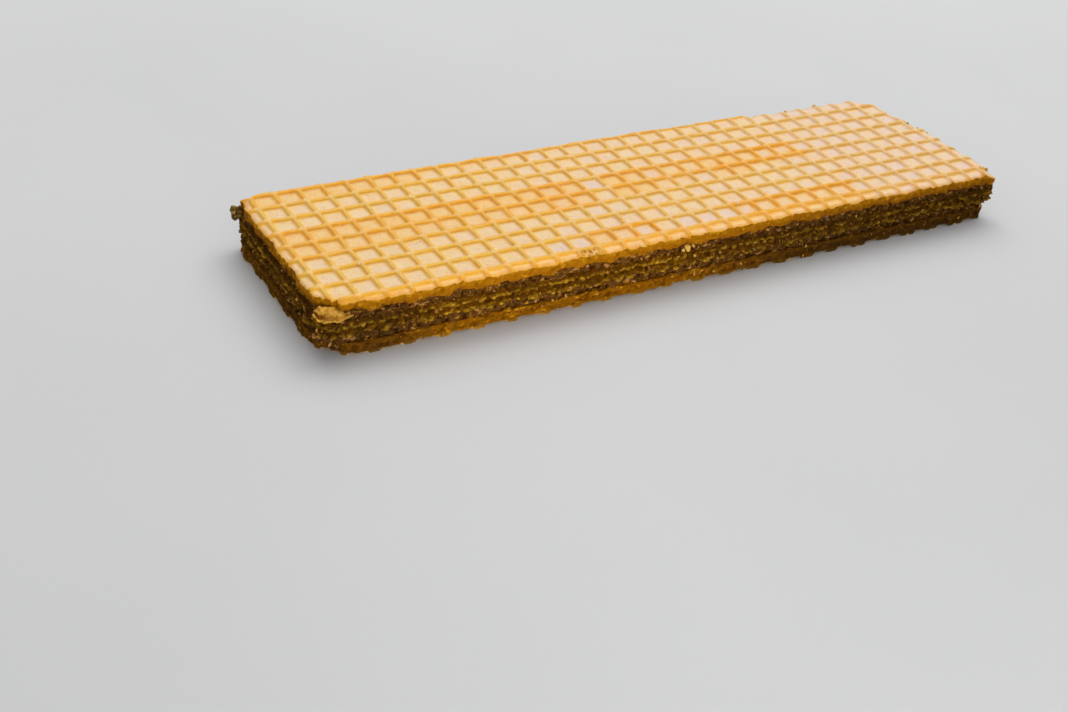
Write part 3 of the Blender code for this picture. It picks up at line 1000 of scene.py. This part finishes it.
def corner_knob(material):
    """The torn lump at the far left corner."""
    bm = bmesh.new()
    hollow = bm.verts.layers.float.new("hollow")
    tint = bm.verts.layers.float.new("tint")
    centre = Vector(KNOB_PLACE) * MM
    size = Matrix.Diagonal((*(side * MM for side in KNOB_SIZE), 1.0))
    bmesh.ops.create_icosphere(bm, subdivisions=5, radius=1.0, matrix=Matrix.Translation(centre) @ size)
    for vert in bm.verts:
        rough, vert[tint] = granule(vert.co, 0.32 * MM, 21.0)
        # painted shade between the knob's grains
        vert[hollow] = min(1.0, max(0.0, 0.45 - rough))
        away = (vert.co - centre).normalized()
        vert.co += away * (0.20 * MM * rough + 0.50 * MM * grain(vert.co, 0.65 * MM, 5.0))
    face_outward(bm)
    return object_of(bm, "torn_corner_knob", [material])


# Where crumbs stick to the sides: from and to this height, how often, and on which outline.
CRUMB_BANDS = (
    (0.3 * MM, 1.8 * MM, 1.0, BOTTOM_OUTLINE),
    (1.8 * MM, 3.1 * MM, 1.2, CREAM_LOWER_OUTLINE),
    (3.1 * MM, 4.7 * MM, 1.2, MIDDLE_OUTLINE),
    (4.7 * MM, 5.9 * MM, 1.0, CREAM_UPPER_OUTLINE),
)
LARGE_CRUMB = 0.45 * MM  # crumbs over this size have more faces


def side_crumbs(name, count, material, draw_seed, sizes):
    """Crumbs that stick to the sides, with sizes from and to, mostly small."""
    draw = random.Random(draw_seed)
    bm = bmesh.new()
    shares = [share for _, _, share, _ in CRUMB_BANDS]
    ways_out = [outward_ways(points) for _, _, _, points in CRUMB_BANDS]
    for _ in range(count):
        band = draw.choices(range(len(CRUMB_BANDS)), shares)[0]
        low, high, _, points = CRUMB_BANDS[band]
        ways = ways_out[band]
        i = draw.randrange(len(points))
        size = sizes[0] + (sizes[1] - sizes[0]) * draw.random() ** 3
        out = draw.uniform(-0.22, 0.05) * MM
        x, y = points[i]
        centre = (x + ways[i][0] * out, y + ways[i][1] * out, draw.uniform(low, high))
        ragged_crumb(bm, centre, size, draw, 2 if size > LARGE_CRUMB else 1)
    face_outward(bm)
    return object_of(bm, name, [material])


# ---- the room ----


def pale_floor():
    bm = bmesh.new()
    bmesh.ops.create_grid(bm, x_segments=1, y_segments=1, size=3.0)
    finish = Finish("floor_paint", roughness=0.9, shine=0.2)
    shade = finish.span(finish.spots(0.05, 2.0), 0.3, 0.7)
    paint = finish.done(finish.mix(shade, (0.62, 0.62, 0.62, 1), (0.64, 0.64, 0.64, 1)))
    object_of(bm, "floor", [paint])


def soft_light(name, place, target, size, power, spread=math.pi):
    data = bpy.data.lights.new(name, "AREA")
    data.shape = "RECTANGLE"
    data.size, data.size_y = size
    data.energy = power
    data.spread = spread
    light = in_scene(name, data)
    light.location = place
    light.rotation_euler = (Vector(target) - Vector(place)).to_track_quat("-Z", "Y").to_euler()


def studio():
    """Even light from all round, a window behind the bar, and a weak fill at its near side."""
    world = bpy.data.worlds.new("studio")
    world.use_nodes = True
    background = world.node_tree.nodes["Background"]
    background.inputs["Color"].default_value = (0.97, 0.98, 1.0, 1)
    background.inputs["Strength"].default_value = 0.46
    bpy.context.scene.world = world
    bpy.context.scene.view_settings.view_transform = "Standard"
    soft_light("back_window", (0.19, 0.25, 0.60), (0, 0, 0), (0.80, 0.60), 3.85)
    fill_place, fill_aim = (-0.045, -0.260, 0.024), (-0.026, -0.0145, 0.005)
    soft_light("front_fill", fill_place, fill_aim, (0.07, 0.02), 0.018, spread=math.radians(40))


# The camera stands where the photograph's did: its place, what it looks at, its roll and its lens.
CAMERA_PLACE = (-0.10853, -0.14381, 0.09721)
CAMERA_AIM = (-0.02936, -0.02241, 0.00035)
CAMERA_ROLL = math.radians(6.74)
CAMERA_LENS, SENSOR_WIDTH = 49.01, 36.0  # in millimetres


def camera():
    data = bpy.data.cameras.new("camera")
    data.lens = CAMERA_LENS
    data.sensor_width = SENSOR_WIDTH
    data.clip_start = 0.005
    data.clip_end = 20.0
    view = in_scene("camera", data)
    view.location = CAMERA_PLACE
    look = (Vector(CAMERA_AIM) - Vector(CAMERA_PLACE)).to_track_quat("-Z", "Y")
    view.rotation_euler = (look.to_matrix().to_4x4() @ Matrix.Rotation(CAMERA_ROLL, 4, "Z")).to_euler()
    bpy.context.scene.camera = view


def side_finishes():
    """Materials for the broken sides of the upper, the middle and the bottom sheet."""
    low_skin, inside, skin = srgb(196, 128, 10), srgb(226, 152, 8), srgb(242, 178, 26)
    stops = ((0.0, low_skin), (0.25, low_skin), (0.6, inside), (0.9, skin), (1.0, skin))
    top = sheet_side(
        "top_sheet_side", CREAM_UPPER_TOP - 0.3 * MM, TOP_SHEET_FLOOR, stops,
        srgb(146, 86, 4), srgb(246, 186, 60), 0.45, low_skin, 0.35)
    inside, skin = srgb(208, 140, 8), srgb(248, 190, 48)
    stops = (
        (0.0, skin), (0.10, skin), (0.26, inside), (0.50, inside),
        (0.60, skin), (0.70, skin), (0.82, inside), (1.0, inside))
    middle = sheet_side(
        "middle_sheet_side", CREAM_LOWER_TOP, MIDDLE_SHEET_TOP, stops,
        srgb(88, 50, 3), srgb(216, 164, 50), 0.55, srgb(126, 80, 26), 0.5)
    rim, inside, skin, high = srgb(238, 194, 92), srgb(210, 136, 3), srgb(230, 160, 20), srgb(166, 102, 4)
    stops = ((0.0, rim), (0.10, rim), (0.20, skin), (0.40, inside), (0.75, inside), (1.0, high))
    bottom = sheet_side(
        "bottom_sheet_side", 0.0, BOTTOM_SHEET_TOP, stops,
        srgb(108, 62, 2), srgb(238, 172, 44), 0.6, srgb(150, 92, 6), 0.5)
    return top, middle, bottom


def attach(piece, node=None):
    """Puts a piece on the bar, and in place of a solid if one is named."""
    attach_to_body(piece, "root")
    if node:
        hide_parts(node)


def layers():
    face = wafer_face("baked_wafer")
    top_edge, middle_edge, bottom_edge = side_finishes()
    cream = cream_finish(
        "cocoa_cream_side", srgb(206, 140, 50), srgb(152, 95, 24), srgb(74, 41, 8), srgb(214, 160, 102),
        srgb(188, 130, 22))
    attach(top_sheet(face, top_edge), "top_sheet")
    upper_cream = cream_layer(
        "cream_upper_layer", CREAM_UPPER_OUTLINE, 41.0, middle_sheet_high, top_sheet_low, cream)
    attach(upper_cream, "cream_upper")
    attach(middle_sheet(middle_edge), "middle_sheet")
    lower_cream = cream_layer(
        "cream_lower_layer", CREAM_LOWER_OUTLINE, 53.0, bottom_sheet_high, middle_sheet_low, cream)
    attach(lower_cream, "cream_lower")
    attach(bottom_sheet(face, bottom_edge), "bottom_sheet")


def crumbs_and_torn_bits():
    """What sticks to the bar's sides, corners and upper face."""
    pale = crumb_finish("pale_crumb", srgb(196, 146, 60), srgb(150, 102, 26))
    attach(side_crumbs("wafer_crumbs", 520, pale, 5, (0.14 * MM, 0.56 * MM)))
    dark = crumb_finish("cream_crumb", srgb(150, 100, 46), srgb(92, 56, 22))
    attach(side_crumbs("cream_crumbs", 1100, dark, 6, (0.16 * MM, 0.55 * MM)))
    torn = torn_finish("torn_wafer", srgb(204, 150, 56), srgb(112, 64, 6), srgb(226, 180, 92))
    knobby = torn_finish("torn_wafer_brown", srgb(158, 126, 56), srgb(66, 46, 14), srgb(198, 172, 108))
    yellow = crumb_finish("yellow_crumb", srgb(226, 180, 88), srgb(188, 134, 38))
    tan = crumb_finish("tan_crumb", srgb(198, 150, 96), srgb(150, 100, 50))
    white = crumb_finish("white_crumb", srgb(246, 226, 200), srgb(236, 204, 160))
    speck = crumb_finish("dark_speck", srgb(132, 76, 20), srgb(104, 58, 16))
    attach(torn_flake(torn))
    attach(corner_knob(knobby))
    attach(placed_crumbs("knob_crumbs", KNOB_CRUMBS, tan, 17))
    attach(placed_crumbs("near_side_crumbs", NEAR_SIDE_CRUMBS, yellow, 11))
    attach(placed_crumbs("near_pit_crumbs", NEAR_PIT_CRUMBS, yellow, 12))
    attach(placed_crumbs("edge_crumbs", FAR_AND_RIGHT_EDGE_CRUMBS, yellow, 13))
    attach(placed_crumbs("low_corner_crumbs", LOW_CORNER_CRUMBS, tan, 14))
    attach(bits_on_top("pale_bits_on_top", BITS_ON_TOP, white, 15))
    attach(bits_on_top("dark_specks_on_top", DARK_SPECKS_ON_TOP, speck, 16))


layers()
crumbs_and_torn_bits()
pale_floor()
studio()
camera()
